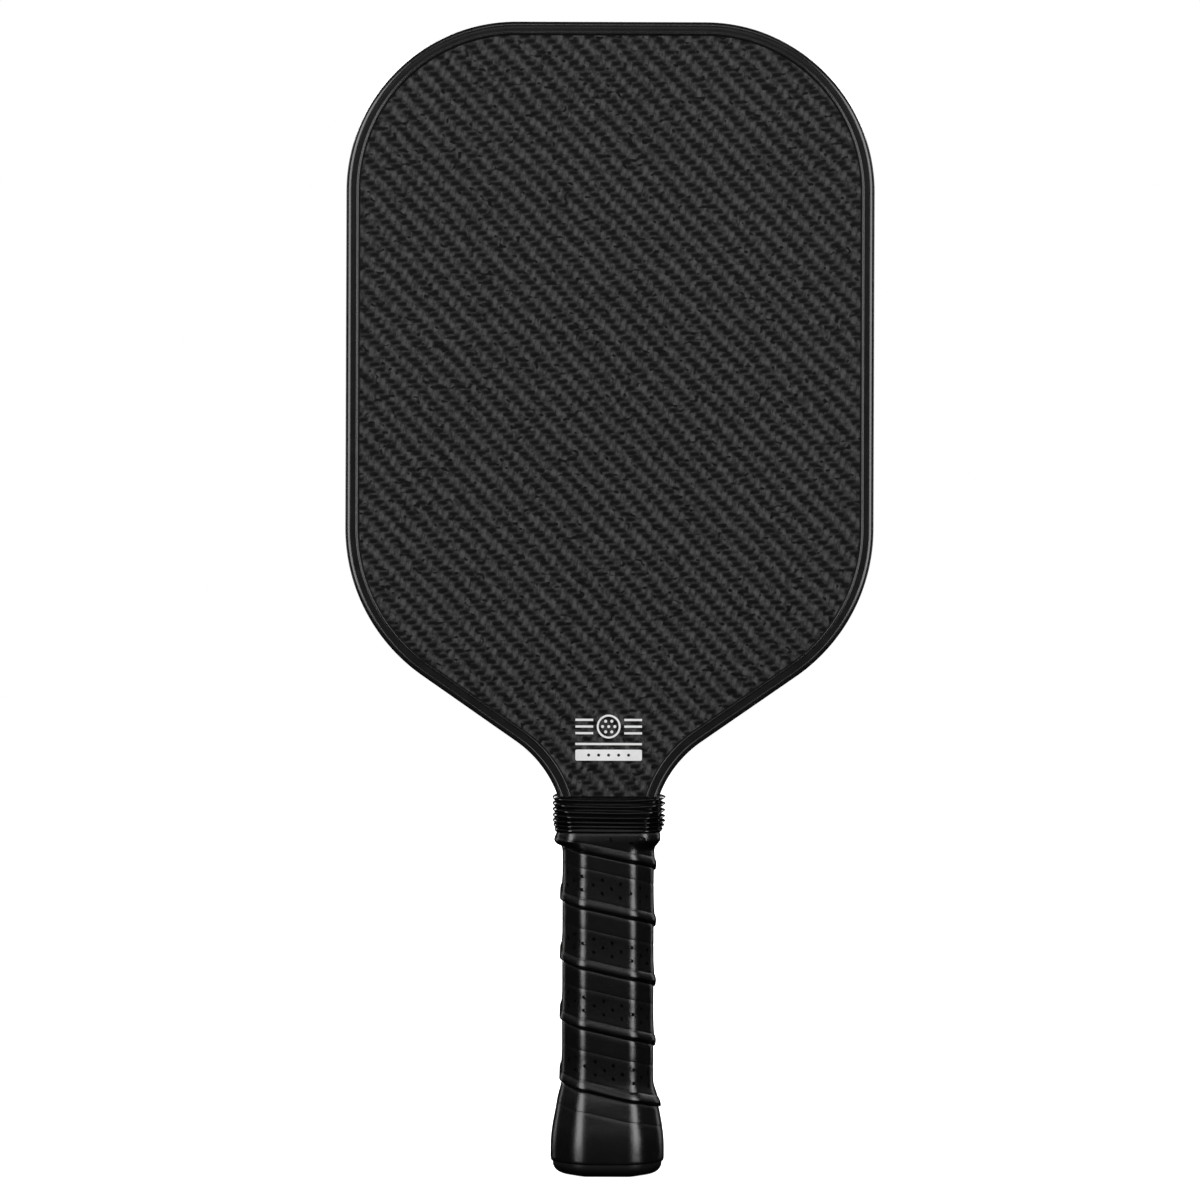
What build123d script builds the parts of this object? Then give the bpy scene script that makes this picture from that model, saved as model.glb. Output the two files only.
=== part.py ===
"""Elongated pickleball paddle: bonded honeycomb panel, edge guard, wrapped octagonal handle.

The paddle stands on its butt. +Z runs along the handle to the top of the head, X is across the
face, and the front face looks along -Y. The origin is the middle of the butt's flat end.
"""

import os
from math import cos, radians, sin, sqrt

from build123d import *

# ---------------------------------------------------------------- driving dimensions (mm)
# outline of the head, measured outside the edge guard
paddle_length = 416.0
head_width = 190.5
top_corner_radius = 61.2
lower_corner_radius = 64.8
lower_corner_z = 233.3
shoulder_turn = 55.2
throat_radius = 40.4
neck_half_width = 16.0

# layers of the panel, from the middle outwards
core_thickness = 14.7
veil_thickness = 0.15
skin_thickness = 0.5
cell_across_flats = 8.0
cell_wall = 0.32
cell_columns = 29
cell_rows = 52
smallest_cell_area = 1.5

# edge guard and its bonding tape
guard_wall = 1.3
guard_lip = 0.9
guard_face_width = 5.15
guard_edge_radius = 1.6
guard_lip_bevel = 0.45
guard_end_z = 121.6
tape_thickness = 0.3
tape_half_width = 7.6

# tongue of the panel and the bare octagonal handle around it
tongue_half_width = 12.0
handle_bottom_z = 3.6
handle_top_z = 121.2
handle_half_width = 14.8
handle_half_depth = 12.65
handle_leg = 6.2
nose_half_width = 10.6
nose_flat_z = 129.0
nose_tip_z = 135.5
nose_tip_thickness = 1.2

# cushion grip, and its flare over the tucked ends of the edge guard
grip_thickness = 1.75
grip_top_z = 129.0
flare_start_z = 117.5
flare_end_z = 121.3
flare_half_width = 16.5
flare_leg = 3.7
flare_thickness = 1.2

# butt cap: (height, growth beyond the bare handle) of its bare rim and of its skirt
cap_rim = [(0.0, -2.0), (0.9, 2.2), (2.2, 4.2), (3.8, 5.1), (5.4, 5.1)]
cap_skirt = [(5.4, 4.0), (11.5, 4.0), (16.0, 3.65), (23.0, 2.2), (27.5, 1.7), (30.5, 1.0)]
cap_edge_z = 32.5
cap_recess_radius = 7.5
cap_recess_depth = 0.6

# staples through the skirt of the cap into the half shells
staple_z = 21.0
staple_width = 10.0
staple_wire = 0.7
staple_leg_length = 6.0
staple_crown_y = 14.9

# finishing tape and ribbed collar
finishing_tape_thickness = 0.2
finishing_tape_bottom_z = 124.6
collar_bottom_z = 124.0
collar_ramp_z = 129.2
collar_top_z = 136.8
collar_clearance = 0.05
collar_bottom_wall = 1.2
collar_top_wall = 0.75
rib_count = 5
rib_height = 0.55
rib_foot_width = 2.0
rib_crest_width = 1.0

# printed mark low on the front face: a perforated ball between lines, over a rule and a bar
mark_thickness = 0.08
mark_top_z = 166.2
mark_width = 24.0
ball_radius = 4.3
ball_ring_width = 0.7
ball_hole_radius = 0.55
ball_hole_circle = 2.2
line_length = 6.4
line_pitch = 2.4
rule_height = 0.8
rule_drop = 10.6
bar_height = 4.0
bar_drop = 14.6
bar_corner_radius = 0.6
bar_hole_count = 5
bar_hole_pitch = 3.6

# ---------------------------------------------------------------- derived dimensions
panel_inset = guard_wall + tape_thickness
core_half = core_thickness / 2
veil_outside = core_half + veil_thickness
panel_half = veil_outside + skin_thickness
guard_half = panel_half + guard_lip

top_corner_x = head_width / 2 - top_corner_radius
top_corner_z = paddle_length - top_corner_radius
lower_corner_x = head_width / 2 - lower_corner_radius
turn_cos = cos(radians(shoulder_turn))
turn_sin = sin(radians(shoulder_turn))

# the throat's arc is tangent to the sloping shoulder and to the straight neck
throat_x = neck_half_width + throat_radius
both_radii = lower_corner_radius + throat_radius
shoulder_length = (lower_corner_x + both_radii * turn_cos - throat_x) / turn_sin
throat_z = lower_corner_z - both_radii * turn_sin - shoulder_length * turn_cos

# an octagon grown by 1 on every side has its corner cuts longer by this much
leg_growth = 2 - sqrt(2)


# ---------------------------------------------------------------- shared shapes
def head_face(inset, neck_z, tongue_z=None):
    """Fill the head's outline, drawn in by inset, down to neck_z, with a tongue down to tongue_z."""
    side_x = head_width / 2 - inset
    neck_x = neck_half_width - inset
    tongue_x = tongue_half_width + panel_inset - inset
    with BuildSketch() as face:
        with BuildLine():
            Line((0, paddle_length - inset), (top_corner_x, paddle_length - inset))
            CenterArc((top_corner_x, top_corner_z), top_corner_radius - inset, 90, -90)
            Line((side_x, top_corner_z), (side_x, lower_corner_z))
            lower = CenterArc(
                (lower_corner_x, lower_corner_z), lower_corner_radius - inset, 0, -shoulder_turn
            )
            throat = CenterArc(
                (throat_x, throat_z), throat_radius + inset, 180 - shoulder_turn, shoulder_turn
            )
            Line(lower @ 1, throat @ 0)
            Line(throat @ 1, (neck_x, neck_z))
            if tongue_z is None:
                Line((neck_x, neck_z), (0, neck_z))
            else:
                Polyline(
                    (neck_x, neck_z),
                    (tongue_x, neck_z),
                    (tongue_x, tongue_z),
                    (0, tongue_z),
                )
            mirror(about=Plane.YZ)
        make_face()
    return face.sketch


def octagon(z, half_width, half_depth, leg):
    """Fill a rectangle with its four corners cut off by leg, at height z."""
    with BuildSketch(Plane.XY.offset(z)) as face:
        Rectangle(2 * half_width, 2 * half_depth)
        chamfer(face.vertices(), leg)
    return face.sketch


def handle_octagon(z, growth):
    """Fill the bare handle's octagon, grown by the same amount on every side."""
    leg = handle_leg + leg_growth * growth
    return octagon(z, handle_half_width + growth, handle_half_depth + growth, leg)


def flared_octagon(z, growth):
    """Fill the octagon that clears the ends of the edge guard, grown on every side."""
    leg = flare_leg + leg_growth * growth
    return octagon(z, flare_half_width + growth, handle_half_depth + growth, leg)


def collar_octagon(z, growth):
    """Fill the inside of the collar, grown on every side: it narrows from the grip to the throat."""
    ramp = max(0, z - collar_ramp_z) / (collar_top_z - collar_ramp_z)
    grip_growth = flare_thickness + finishing_tape_thickness + collar_clearance
    throat_half_width = throat_x - sqrt(throat_radius**2 - (collar_top_z - throat_z) ** 2)
    half_width = (1 - ramp) * (flare_half_width + grip_growth) + ramp * throat_half_width
    half_depth = (1 - ramp) * (handle_half_depth + grip_growth) + ramp * guard_half
    leg = (1 - ramp) * (flare_leg + leg_growth * grip_growth)
    leg += ramp * leg_growth * guard_edge_radius
    clear = growth + ramp * collar_clearance
    return octagon(z, half_width + clear, half_depth + clear, leg + leg_growth * clear)


def collar_wall(z):
    """Work out the wall of the collar between its ribs at height z."""
    rise = (z - collar_bottom_z) / (collar_top_z - collar_bottom_z)
    return (1 - rise) * collar_bottom_wall + rise * collar_top_wall


def cut_cells():
    """List the outlines of the honeycomb's cells, those along the rim cut off by a thin wall."""
    room = head_face(panel_inset + cell_wall, guard_end_z + cell_wall, handle_bottom_z + cell_wall)
    rim = room.faces()[0].outer_wire()
    cell = RegularPolygon(cell_across_flats / 2, 6, major_radius=False)
    corner_reach = cell_across_flats / sqrt(3)
    outlines = []
    for spot in HexLocations((cell_across_flats + cell_wall) / 2, cell_columns, cell_rows):
        place = Pos(0, paddle_length / 2) * spot
        outline = place * cell
        if rim.distance_to(place.position) < corner_reach:
            outline = room & outline
        elif not room.faces()[0].is_inside(place.position):
            continue
        outlines += [f.outer_wire() for f in outline.faces() if f.area > smallest_cell_area]
    return outlines


def sheet(outside, thickness):
    """Extrude the panel's outline inwards from outside, on the front of the paddle."""
    with BuildPart() as layer:
        with BuildSketch(Plane.XZ.offset(outside)):
            add(head_face(panel_inset, guard_end_z, handle_bottom_z))
        extrude(amount=-thickness)
    return layer.part


os.makedirs("parts", exist_ok=True)

# ---------------------------------------------------------------- panel
panel_outline = head_face(panel_inset, guard_end_z, handle_bottom_z).faces()[0].outer_wire()
honeycomb_face = Face(panel_outline, cut_cells())

with BuildPart() as honeycomb_core:
    with BuildSketch(Plane.XZ.offset(-core_half)):
        add(honeycomb_face)
    extrude(amount=core_thickness, clean=False)

with BuildPart() as front_core_veil:
    add(sheet(veil_outside, veil_thickness))

with BuildPart() as back_core_veil:
    mirror(front_core_veil.part, about=Plane.XZ)

with BuildPart() as front_face_skin:
    add(sheet(panel_half, skin_thickness))

with BuildPart() as back_face_skin:
    mirror(front_face_skin.part, about=Plane.XZ)

# ---------------------------------------------------------------- edge guard
with BuildPart() as edge_guard:
    with BuildSketch(Plane.XZ.offset(-guard_half)):
        add(head_face(0, guard_end_z))
    extrude(amount=2 * guard_half)
    bottom_edges = edge_guard.edges().group_by(Axis.Z)[0]
    face_edges = edge_guard.faces().sort_by(Axis.Y)[0].edges()
    face_edges += edge_guard.faces().sort_by(Axis.Y)[-1].edges()
    fillet(face_edges - bottom_edges, guard_edge_radius)
    with BuildSketch(Plane.XZ.offset(-panel_half)):
        add(head_face(guard_wall, guard_end_z - 1))
    extrude(amount=2 * panel_half, mode=Mode.SUBTRACT)
    with BuildSketch(Plane.XZ.offset(-guard_half)):
        add(head_face(guard_face_width, guard_end_z - 1))
    extrude(amount=2 * guard_half, mode=Mode.SUBTRACT)
    for face in (edge_guard.faces().sort_by(Axis.Y)[0], edge_guard.faces().sort_by(Axis.Y)[-1]):
        lip_edges = face.edges() - edge_guard.edges().group_by(Axis.Z)[0]
        chamfer(lip_edges.sort_by(SortBy.LENGTH), guard_lip_bevel)

with BuildPart() as edge_guard_tape:
    with BuildSketch(Plane.XZ.offset(-tape_half_width)):
        add(head_face(guard_wall, guard_end_z))
        add(head_face(panel_inset, guard_end_z), mode=Mode.SUBTRACT)
    extrude(amount=2 * tape_half_width)

# ---------------------------------------------------------------- handle
with BuildPart() as butt_cap_staples:
    with BuildSketch(Plane.XY.offset(staple_z)):
        with Locations((0, -staple_crown_y)):
            Rectangle(staple_width, staple_leg_length, align=(Align.CENTER, Align.MIN))
        with Locations((0, staple_wire - staple_crown_y)):
            Rectangle(
                staple_width - 2 * staple_wire,
                staple_leg_length,
                align=(Align.CENTER, Align.MIN),
                mode=Mode.SUBTRACT,
            )
    extrude(amount=staple_wire)
    mirror(about=Plane.XZ)

with BuildPart() as front_handle_shell:
    with BuildSketch(Plane.XY.offset(handle_bottom_z)):
        add(octagon(0, handle_half_width, handle_half_depth, handle_leg))
        Rectangle(2 * tongue_half_width, 2 * panel_half, mode=Mode.SUBTRACT)
        split(bisect_by=Plane.XZ, keep=Keep.TOP)
    extrude(amount=handle_top_z - handle_bottom_z)
    with BuildSketch(Plane.YZ.offset(-nose_half_width)):
        with BuildLine():
            Polyline(
                (-panel_half, handle_top_z),
                (-handle_half_depth, handle_top_z),
                (-handle_half_depth, nose_flat_z),
                (-panel_half - nose_tip_thickness, nose_tip_z),
                (-panel_half, nose_tip_z),
                close=True,
            )
        make_face()
    extrude(amount=2 * nose_half_width)
    add(butt_cap_staples.part, mode=Mode.SUBTRACT)

with BuildPart() as back_handle_shell:
    mirror(front_handle_shell.part, about=Plane.XZ)

with BuildPart() as butt_cap:
    loft([handle_octagon(z, growth) for z, growth in cap_rim], ruled=True)
    loft([handle_octagon(z, growth) for z, growth in cap_skirt], ruled=True)
    with BuildSketch(Plane.XY.offset(handle_bottom_z)):
        add(octagon(0, handle_half_width, handle_half_depth, handle_leg))
    extrude(amount=handle_top_z, mode=Mode.SUBTRACT)
    with BuildSketch():
        Circle(cap_recess_radius)
    extrude(amount=cap_recess_depth, mode=Mode.SUBTRACT)
    with BuildSketch(Plane.XY.offset(staple_z)):
        Rectangle(staple_width, 2 * (handle_half_depth + cap_skirt[0][1]))
        Rectangle(staple_width, 2 * staple_crown_y, mode=Mode.SUBTRACT)
    extrude(amount=staple_wire, mode=Mode.SUBTRACT)
    add(butt_cap_staples.part, mode=Mode.SUBTRACT)

# ---------------------------------------------------------------- grip and collar
grip_inside = [handle_octagon(z, growth) for z, growth in cap_skirt]
grip_inside += [handle_octagon(z, 0) for z in (cap_edge_z, flare_start_z)]
grip_inside += [flared_octagon(z, 0) for z in (flare_end_z, grip_top_z)]
grip_outside = [handle_octagon(z, growth + grip_thickness) for z, growth in cap_skirt]
grip_outside += [handle_octagon(z, grip_thickness) for z in (cap_edge_z, flare_start_z)]
grip_outside += [flared_octagon(z, flare_thickness) for z in (flare_end_z, grip_top_z)]

with BuildPart() as cushion_grip:
    loft(grip_outside, ruled=True)
    loft(grip_inside, ruled=True, mode=Mode.SUBTRACT)

with BuildPart() as grip_finishing_tape:
    with BuildSketch(Plane.XY.offset(finishing_tape_bottom_z)):
        add(flared_octagon(0, flare_thickness + finishing_tape_thickness))
        add(flared_octagon(0, flare_thickness), mode=Mode.SUBTRACT)
    extrude(amount=grip_top_z - finishing_tape_bottom_z)

rib_pitch = (collar_top_z - collar_bottom_z) / rib_count
rib_flank = (rib_foot_width - rib_crest_width) / 2
collar_outside = []
for rib in range(rib_count):
    foot_z = collar_bottom_z + rib * rib_pitch
    crest_z = foot_z + rib_flank
    collar_outside += [
        collar_octagon(foot_z, collar_wall(foot_z)),
        collar_octagon(crest_z, collar_wall(crest_z) + rib_height),
        collar_octagon(crest_z + rib_crest_width, collar_wall(crest_z) + rib_height),
        collar_octagon(foot_z + rib_foot_width, collar_wall(foot_z)),
    ]
collar_outside.append(collar_octagon(collar_top_z, collar_top_wall))

with BuildPart() as grip_collar:
    loft(collar_outside, ruled=True)
    loft(
        [collar_octagon(z, 0) for z in (collar_bottom_z, collar_ramp_z, collar_top_z)],
        ruled=True,
        mode=Mode.SUBTRACT,
    )

# ---------------------------------------------------------------- printed mark
ball_z = mark_top_z - ball_radius
line_x = (mark_width - line_length) / 2

with BuildPart() as face_mark:
    with BuildSketch(Plane.XZ.offset(panel_half)):
        with Locations((0, ball_z)):
            Circle(ball_radius)
            Circle(ball_radius - ball_ring_width, mode=Mode.SUBTRACT)
            Circle(ball_hole_radius)
            with PolarLocations(ball_hole_circle, 6):
                Circle(ball_hole_radius)
        with Locations((-line_x, ball_z), (line_x, ball_z)):
            with GridLocations(0, line_pitch, 1, 3):
                Rectangle(line_length, rule_height)
        with Locations((0, mark_top_z - rule_drop)):
            Rectangle(mark_width, rule_height)
        with Locations((0, mark_top_z - bar_drop)):
            RectangleRounded(mark_width, bar_height, bar_corner_radius)
            with GridLocations(bar_hole_pitch, 0, bar_hole_count, 1):
                Circle(ball_hole_radius, mode=Mode.SUBTRACT)
    extrude(amount=mark_thickness)

# ---------------------------------------------------------------- files
pieces = {
    "honeycomb_core": honeycomb_core,
    "front_core_veil": front_core_veil,
    "back_core_veil": back_core_veil,
    "front_face_skin": front_face_skin,
    "back_face_skin": back_face_skin,
    "edge_guard": edge_guard,
    "edge_guard_tape": edge_guard_tape,
    "front_handle_shell": front_handle_shell,
    "back_handle_shell": back_handle_shell,
    "butt_cap": butt_cap,
    "butt_cap_staples": butt_cap_staples,
    "cushion_grip": cushion_grip,
    "grip_finishing_tape": grip_finishing_tape,
    "grip_collar": grip_collar,
    "face_mark": face_mark,
}
for name, piece in pieces.items():
    piece.part.label = name
    export_step(piece.part, f"parts/{name}.step")
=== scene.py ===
"""Looks of the pickleball paddle: twill carbon faces, moulded edge guard, spiral grip, collar, butt.

The paddle stands on its butt, +Z up the handle, with its front face towards -Y. The dimensions and
the shapes are in millimetres, and finish_mesh turns them into Blender's metres.
"""

from math import cos, pi, radians, sin, sqrt

import bmesh
import bpy
import numpy as np
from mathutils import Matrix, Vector


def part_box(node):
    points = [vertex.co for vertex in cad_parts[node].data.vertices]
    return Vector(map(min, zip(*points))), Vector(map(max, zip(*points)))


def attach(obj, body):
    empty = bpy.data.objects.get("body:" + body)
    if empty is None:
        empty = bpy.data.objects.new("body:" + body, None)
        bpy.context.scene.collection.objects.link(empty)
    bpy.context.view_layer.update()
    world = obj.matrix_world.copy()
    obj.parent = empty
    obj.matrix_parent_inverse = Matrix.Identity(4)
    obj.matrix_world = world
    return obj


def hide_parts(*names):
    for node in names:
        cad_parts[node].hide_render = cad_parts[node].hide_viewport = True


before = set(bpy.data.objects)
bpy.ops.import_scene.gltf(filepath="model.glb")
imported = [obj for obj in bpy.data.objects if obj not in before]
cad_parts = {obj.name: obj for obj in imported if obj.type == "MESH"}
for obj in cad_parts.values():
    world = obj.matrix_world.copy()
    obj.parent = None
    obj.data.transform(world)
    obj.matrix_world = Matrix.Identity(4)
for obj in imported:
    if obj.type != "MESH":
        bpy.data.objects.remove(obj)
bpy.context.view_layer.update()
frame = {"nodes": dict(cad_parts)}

MM = 0.001


def extent(node):
    """Lowest and highest corner of a CAD node, in millimetres."""
    return [[round(value / MM, 2) for value in corner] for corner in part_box(node)]


GUARD_LOW, GUARD_HIGH = extent("edge_guard")
SKIN_LOW = extent("front_face_skin")[0]
SHELL_LOW, SHELL_HIGH = extent("front_handle_shell")
GRIP_LOW, GRIP_HIGH = extent("cushion_grip")
COLLAR_LOW, COLLAR_HIGH = extent("grip_collar")

# ------------------------------------------------------------- dimensions, in millimetres
# outline of the head outside the edge guard
PADDLE_LENGTH = GUARD_HIGH[2]
HEAD_WIDTH = 2 * GUARD_HIGH[0]
TOP_RADIUS = 61.2
LOWER_RADIUS = 64.8
LOWER_Z = 233.3
SHOULDER_TURN = radians(55.2)
THROAT_RADIUS = 40.4
NECK_HALF_WIDTH = 16.0
GUARD_END_Z = GUARD_LOW[2]

# section of the edge guard, from the outline inwards
PANEL_HALF = -SKIN_LOW[1]
GUARD_HALF = GUARD_HIGH[1]
GUARD_WALL = 1.3
GUARD_EDGE_START = 6.98
GUARD_EDGE_RADIUS = 1.75
GUARD_EDGE_TILT = radians(19)
# (inset, distance from the middle plane): a narrow slope inside the round edge, a fine step, a flat
# band, then the bead along the lip
GUARD_BAND = (
    (1.54, 8.76),
    (1.6, 8.77),
    (1.66, 8.74),
    (1.76, 8.7),
    (1.95, 8.69),
    (2.3, 8.71),
    (3.0, 8.7),
    (3.7, 8.66),
    (3.9, 8.67),
    (4.0, 8.73),
    (4.09, 8.81),
    (4.2, 8.87),
    (4.32, 8.9),
    (4.44, 8.88),
    (4.55, 8.8),
    (4.64, 8.68),
    (4.73, 8.53),
    (4.82, 8.37),
    (4.91, 8.22),
    (5.01, 8.1),
    (5.1, PANEL_HALF),
)

# bare handle and the flare over the tucked ends of the guard
HANDLE = (SHELL_HIGH[0], -SHELL_LOW[1], 6.2)
FLARE = (16.5, -SHELL_LOW[1], 3.7)
HANDLE_CORNER = 3.5
FLARE_CORNER = 2.6
HANDLE_BOTTOM_Z = SHELL_LOW[2]
FLARE_START_Z = 117.5
FLARE_END_Z = 121.3
LEG_GROWTH = 2 - sqrt(2)

# grip strip: where its lower edge lies after each turn, and how wide it laps over the turn below
GRIP_BOTTOM_Z = GRIP_LOW[2]
GRIP_TOP_Z = GRIP_HIGH[2]
GRIP_ROUND = 105.5
EDGE_TURNS = range(-1, 9)
EDGE_HEIGHTS = (-35.1, -13.5, 8.1, 29.7, 52.0, 73.5, 95.3, 115.3, 136.0, 157.0)
TAPER_TURNS = (1.3, 1.7)
LAST_TURN = 6.66
OVERLAP = 2.4

# (height, growth beyond the bare handle) of the wound strip between its seams
GRIP_GROWTH = (
    (5.4, 5.4),
    (5.7, 5.6),
    (6.4, 5.7),
    (11.5, 5.72),
    (16.0, 5.35),
    (20.3, 4.5),
    (23.2, 3.95),
    (27.5, 3.3),
    (30.4, 2.4),
    (32.0, 1.85),
    (34.5, 1.75),
    (117.5, 1.75),
    (119.5, 2.05),
    (121.2, 2.3),
    (123.3, 2.25),
    (124.0, 1.95),
    (125.2, 1.2),
    (129.0, 1.2),
)
# between these heights the growth is averaged over a spread, which rounds its corners
GROWTH_ROUNDED = (9.0, 117.0)
ROUNDING_SPREAD = (-2.0, -1.0, 0.0, 1.0, 2.0)

# (distance above the strip's lower edge, rise over the turn below)
STRIP_LIFT = (
    (0.0, 0.1),
    (0.1, 0.45),
    (0.25, 0.72),
    (0.5, 0.87),
    (0.8, 0.92),
    (1.1, 0.93),
    (1.6, 0.87),
    (2.0, 0.78),
    (2.45, 0.66),
    (2.8, 0.53),
    (3.1, 0.37),
    (3.3, 0.27),
    (3.5, 0.31),
    (4.3, 0.24),
    (6.5, 0.1),
    (8.5, 0.03),
    (10.0, 0.0),
)
# (level above the patterned edge, depth) of the pressed line above the holes
STRIP_CREASE = ((13.0, 0.0), (13.6, -0.07), (14.05, -0.15), (14.2, -0.02), (14.4, 0.0))
# (height, thickness) of the strip, thinned where the finishing tape binds it
STRIP_THICKNESS = ((120.5, 1.5), (123.9, 1.5), (124.3, 1.1))
BOUND_FROM_Z = 120.5
BOUND_RISE = 3.0
# the strip's upper edge dips under the next turn, and its inside steps out over the turn below
TUCK_DEPTH = 0.85
TUCK_WIDTH = 2.45
TUCK_SLOPE = 0.9
INSIDE_STEP = 0.72
INSIDE_SLOPE = 1.2

# levels of the strip's rows above its patterned edge: below, between and above its cells
LOW_LEVELS = (0, 0.1, 0.25, 0.5, 0.8, 1.2, 1.8, 2.45, 2.8, 3.1, 3.3, 3.5, 4.3, 5.2)
CELL_EDGES = (5.2, 7.6, 10.0, 12.4)
HIGH_LEVELS = (13.0, 13.6, 14.05, 14.2, 14.4, 16.0, 17.8, 19.4)
TOP_MARGINS = (3.5, 3.1, 2.75, 2.45, 1.2, 0.0)
HIGH_MARGIN = 3.8
INSIDE_LEVELS = (0, 2.45, 3.1, 3.5, 5.2)

# cells of the strip's grid, every second one with a perforation, and (radius, depth) of its rings
CELL_LENGTH = 3.65
CELL_COLUMNS = 5
CELL_ROWS = 3
CELL_BANDS = len(CELL_EDGES) - 1
FIRST_CELL_ROW = len(LOW_LEVELS) - 1
HOLE_RADIUS = 0.64
HOLE_RINGS = (
    (0.88, 0.0),
    (HOLE_RADIUS + 0.03, 0.0),
    (HOLE_RADIUS, 0.15),
    (0.25, 1.25),
)
HOLES_FROM_Z = 27.0
HOLES_TO_Z = 123.4

# collar: pairs are values at its bottom and its top
COLLAR_BOTTOM_Z = COLLAR_LOW[2]
COLLAR_TOP_Z = COLLAR_HIGH[2]
# the bore flares at its mouth, clears the grip's flare, and thins to the guard's depth at the throat
COLLAR_MOUTH_Z = 125.4
COLLAR_MOUTH_FLARE = 0.6
COLLAR_RAMP_Z = 129.2
COLLAR_FIT = 1.45
COLLAR_THROAT = 18.36
COLLAR_GAP = 0.05
COLLAR_BULGE = 1.7
COLLAR_WALL = (0.75, 0.35)
COLLAR_CORNER = (3.6, 1.9)
COLLAR_BASE_CORNER = (3.0, 1.4)
BORE_CORNER = 1.2
BORE_GROWTH = 0.02

# ribs of the collar, between its grooves: threes are values at the front and back, at the left and at
# the right. A lean above 1 moves a rib's crest up, and a fullness above 1 thins it to a fin.
COLLAR_GROOVES = (123.8, 125.3, 126.8, 128.4, 130.3, 132.5, 134.8, 137.0)
RIB_LEAN = (0.62, 1.2, 2.1)
RIB_FULLNESS = (0.8, 0.8, 1.7)
RIB_REACH = (0.85, 1.6, 2.1)
RIB_DROOP = 0.35
RIB_DROOP_TURN = 0.5
LOW_RIB_SHARE = 0.45
LOW_RIBS_END = 0.3

# butt cup: (height, growth beyond the bare handle)
CUP_OUTSIDE = (
    (0.0, -3.0),
    (0.0, -2.3),
    (0.12, -1.3),
    (0.4, 0.2),
    (0.8, 1.6),
    (1.35, 2.9),
    (2.0, 3.75),
    (2.8, 4.4),
    (3.7, 4.75),
    (4.5, 4.88),
    (5.4, 4.92),
    (5.4, 4.6),
    (5.4, 3.98),
    (11.5, 3.95),
    (16.0, 3.6),
    (23.0, 2.15),
    (27.5, 1.65),
    (30.4, 0.95),
    (30.5, 0.3),
)
CUP_RECESS_RADIUS = 7.5
CUP_RECESS_DEPTH = 0.6
CUP_POLE_RADIUS = 0.05
CUP_SEAT_GROWTH = 0.25
CUP_SEAT_DIP = 0.1
# (radius, height) of the circles from the middle of the recess underneath to its rim
CUP_CIRCLES = (
    (CUP_POLE_RADIUS, CUP_RECESS_DEPTH),
    (CUP_RECESS_RADIUS - 0.6, CUP_RECESS_DEPTH),
    (CUP_RECESS_RADIUS - 0.15, CUP_RECESS_DEPTH - 0.1),
    (CUP_RECESS_RADIUS, 0.35),
    (CUP_RECESS_RADIUS + 0.12, 0.1),
    (CUP_RECESS_RADIUS + 0.35, 0.0),
)

# weave of the faces, in metres
TOW_WIDTH = 1.93 * MM
TOW_HEIGHT = 1.98 * MM

# camera and studio, in metres and watts
CAMERA_PLACE = (-0.0033, -1.309, 0.2075)
CAMERA_ROLL = radians(-0.2)
CAMERA_LENS = 108.3
FLOOR_REACH = 6.0
LIGHT_TARGET = (0, 0, 0.2)
# name, place, width, height and power of each light
LIGHTS = (
    ("front_softbox", (-0.2, -2.4, 1.3), 1.4, 0.8, 2.8),
    ("left_softbox", (-1.0, -1.15, 0.5), 0.85, 1.4, 19),
    ("right_softbox", (1.0, -1.15, 0.5), 0.85, 1.4, 19),
    ("left_fill", (-2.4, 0.3, 1.3), 1.4, 0.8, 1),
    ("right_fill", (2.4, 0.3, 1.3), 1.4, 0.8, 1),
    ("top_strip", (0, -1.25, 1.75), 1.4, 0.12, 2),
    ("back_left_bar", (-1.32, 0.76, 0.5), 0.3, 1.4, 2.5),
    ("back_right_bar", (1.32, 0.76, 0.5), 0.3, 1.4, 2.5),
    ("back_left_softbox", (-1.1, 1.9, 1.5), 1.0, 1.0, 30),
    ("back_right_softbox", (1.1, 1.9, 1.5), 1.0, 1.0, 30),
    ("back_softbox", (0.2, 2.4, 1.3), 1.4, 0.8, 8),
)


# ------------------------------------------------------------- shapes
def lerp(a, b, t):
    """Blend a into b."""
    return a + (b - a) * t


def smooth(t):
    """Ease from 0 to 1."""
    t = np.clip(t, 0, 1)
    return t * t * (3 - 2 * t)


def along_curve(curve, at):
    """Value at a place of a curve that is given as (place, value) points."""
    places, values = np.array(curve).T
    return np.interp(at, places, values)


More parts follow.
